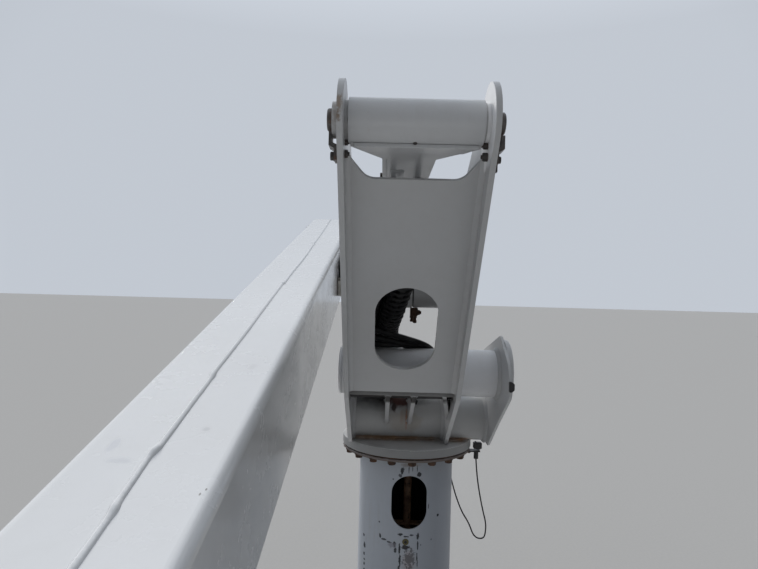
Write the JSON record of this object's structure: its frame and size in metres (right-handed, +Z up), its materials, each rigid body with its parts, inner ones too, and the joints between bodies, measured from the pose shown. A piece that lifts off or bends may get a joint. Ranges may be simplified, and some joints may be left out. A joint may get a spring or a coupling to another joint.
{
  "type": "truck-mounted aerial lift unit",
  "caption": "Articulating, telescoping bucket lift of a cherry picker truck: pedestal, slewing turret, leaning mast, lower and upper booms, fly boom, lift cylinder and bucket.",
  "frame": {"origin": "centre of the pedestal's base flange, on its underside, at the bolt circle's centre", "axes": "+Z up along the slewing axis, +Y forward along the stowed lower boom, +X to the right"},
  "size_m": [1.072, 5.6342, 2.1305],
  "materials": {
    "white_paint": "gloss, weathered",
    "pedestal_paint": "worn, scuffed and stained",
    "rusty_steel": "rusty",
    "dark_steel": "dull, dark",
    "pipe_brown": "dull, rusty",
    "rod_chrome": "polished",
    "pad_plastic": "matt",
    "hose_rubber": "matt black",
    "cable_black": "satin black",
    "gelcoat": "gloss, slightly chalky",
    "grey_paint": "satin",
    "lever_black": "satin black"
  },
  "bodies": {
    "pedestal": {"base_flange": "pedestal_paint", "pedestal_column": "pedestal_paint", "pedestal_gussets": "pedestal_paint", "pedestal_top_flange": "pedestal_paint", "slewing_ring": "rusty_steel", "riser_pipe": "pipe_brown", "riser_strap": "pipe_brown", "cable_gland_top": "lever_black", "cable_gland_side": "lever_black", "hanging_cable": "cable_black"},
    "turret": {"turntable_disc": "white_paint", "lower_cross_tube": "white_paint", "upper_cross_tube": "white_paint", "tube_saddles": "white_paint", "cheek_plate": "white_paint", "cheek_boss": "white_paint", "mast_left_plate": "white_paint", "mast_right_plate": "white_paint", "mast_back_plate": "white_paint", "mast_shelf": "white_paint", "mast_gussets": "white_paint", "ear_bosses": "white_paint", "thrust_rings": "white_paint", "boom_pivot_pin": "dark_steel", "pin_keepers": "dark_steel", "cylinder_base_stubs": "white_paint", "cylinder_base_pin": "dark_steel", "slew_gearbox": "grey_paint", "slew_motor": "dark_steel", "hose_bundle": "hose_rubber", "hose_clamp": "white_paint"},
    "lower_boom": {"boom_pivot_tube": "white_paint", "lower_boom_root": "white_paint", "lower_boom_box": "white_paint", "lift_lugs": "white_paint", "elbow_bracket": "white_paint", "elbow_shaft": "white_paint"},
    "lift_barrel": {"lift_cylinder_barrel": "white_paint"},
    "lift_rod": {"lift_cylinder_rod": "rod_chrome"},
    "upper_boom": {"upper_boom_box": "white_paint", "elbow_hub": "white_paint", "upper_boom_cap": "white_paint", "boom_collar": "white_paint", "wear_pads": "pad_plastic"},
    "fly_boom": {"fly_boom_box": "white_paint", "boom_tip_head": "white_paint"},
    "platform": {"platform_shaft": "dark_steel", "platform_bracket": "white_paint", "bucket": "gelcoat", "bucket_lip": "gelcoat", "control_console": "grey_paint", "control_levers": "lever_black"}
  },
  "joints": [
    {"name": "turret_slew", "type": "hinge", "parent": "pedestal", "child": "turret", "pos_m": [0, 0, 0.88], "axis": [0, 0, 1], "continuous": true},
    {"name": "lower_boom_lift", "type": "hinge", "parent": "turret", "child": "lower_boom", "pos_m": [-0.04, -1.033, 1.9935], "axis": [1, 0, 0], "range_deg": [0, 70]},
    {"name": "lift_barrel_swing", "type": "hinge", "parent": "turret", "child": "lift_barrel", "pos_m": [-0.055, -0.08, 1.533], "axis": [1, 0, 0], "range_deg": [-20, 0]},
    {"name": "lift_rod_slide", "type": "slide", "parent": "lift_barrel", "child": "lift_rod", "axis": [0, -0.8659, 0.5003], "range_m": [0, 0.42]},
    {"name": "upper_boom_unfold", "type": "hinge", "parent": "lower_boom", "child": "upper_boom", "pos_m": [-0.527, 1.65, 1.93], "axis": [-1, 0, 0], "range_deg": [0, 150]},
    {"name": "fly_extend", "type": "slide", "parent": "upper_boom", "child": "fly_boom", "axis": [0, -0.9708, -0.2401], "range_m": [0, 2.4]},
    {"name": "platform_level", "type": "hinge", "parent": "fly_boom", "child": "platform", "pos_m": [-0.527, -3.27071, 0.63029], "axis": [1, 0, 0], "range_deg": [-75, 150]}
  ],
  "couplings": [
    {"joint": "lift_barrel_swing", "follows": "lower_boom_lift", "ratio": -0.28386},
    {"joint": "lift_rod_slide", "follows": "lower_boom_lift", "m_per_rad": 0.34345}
  ]
}
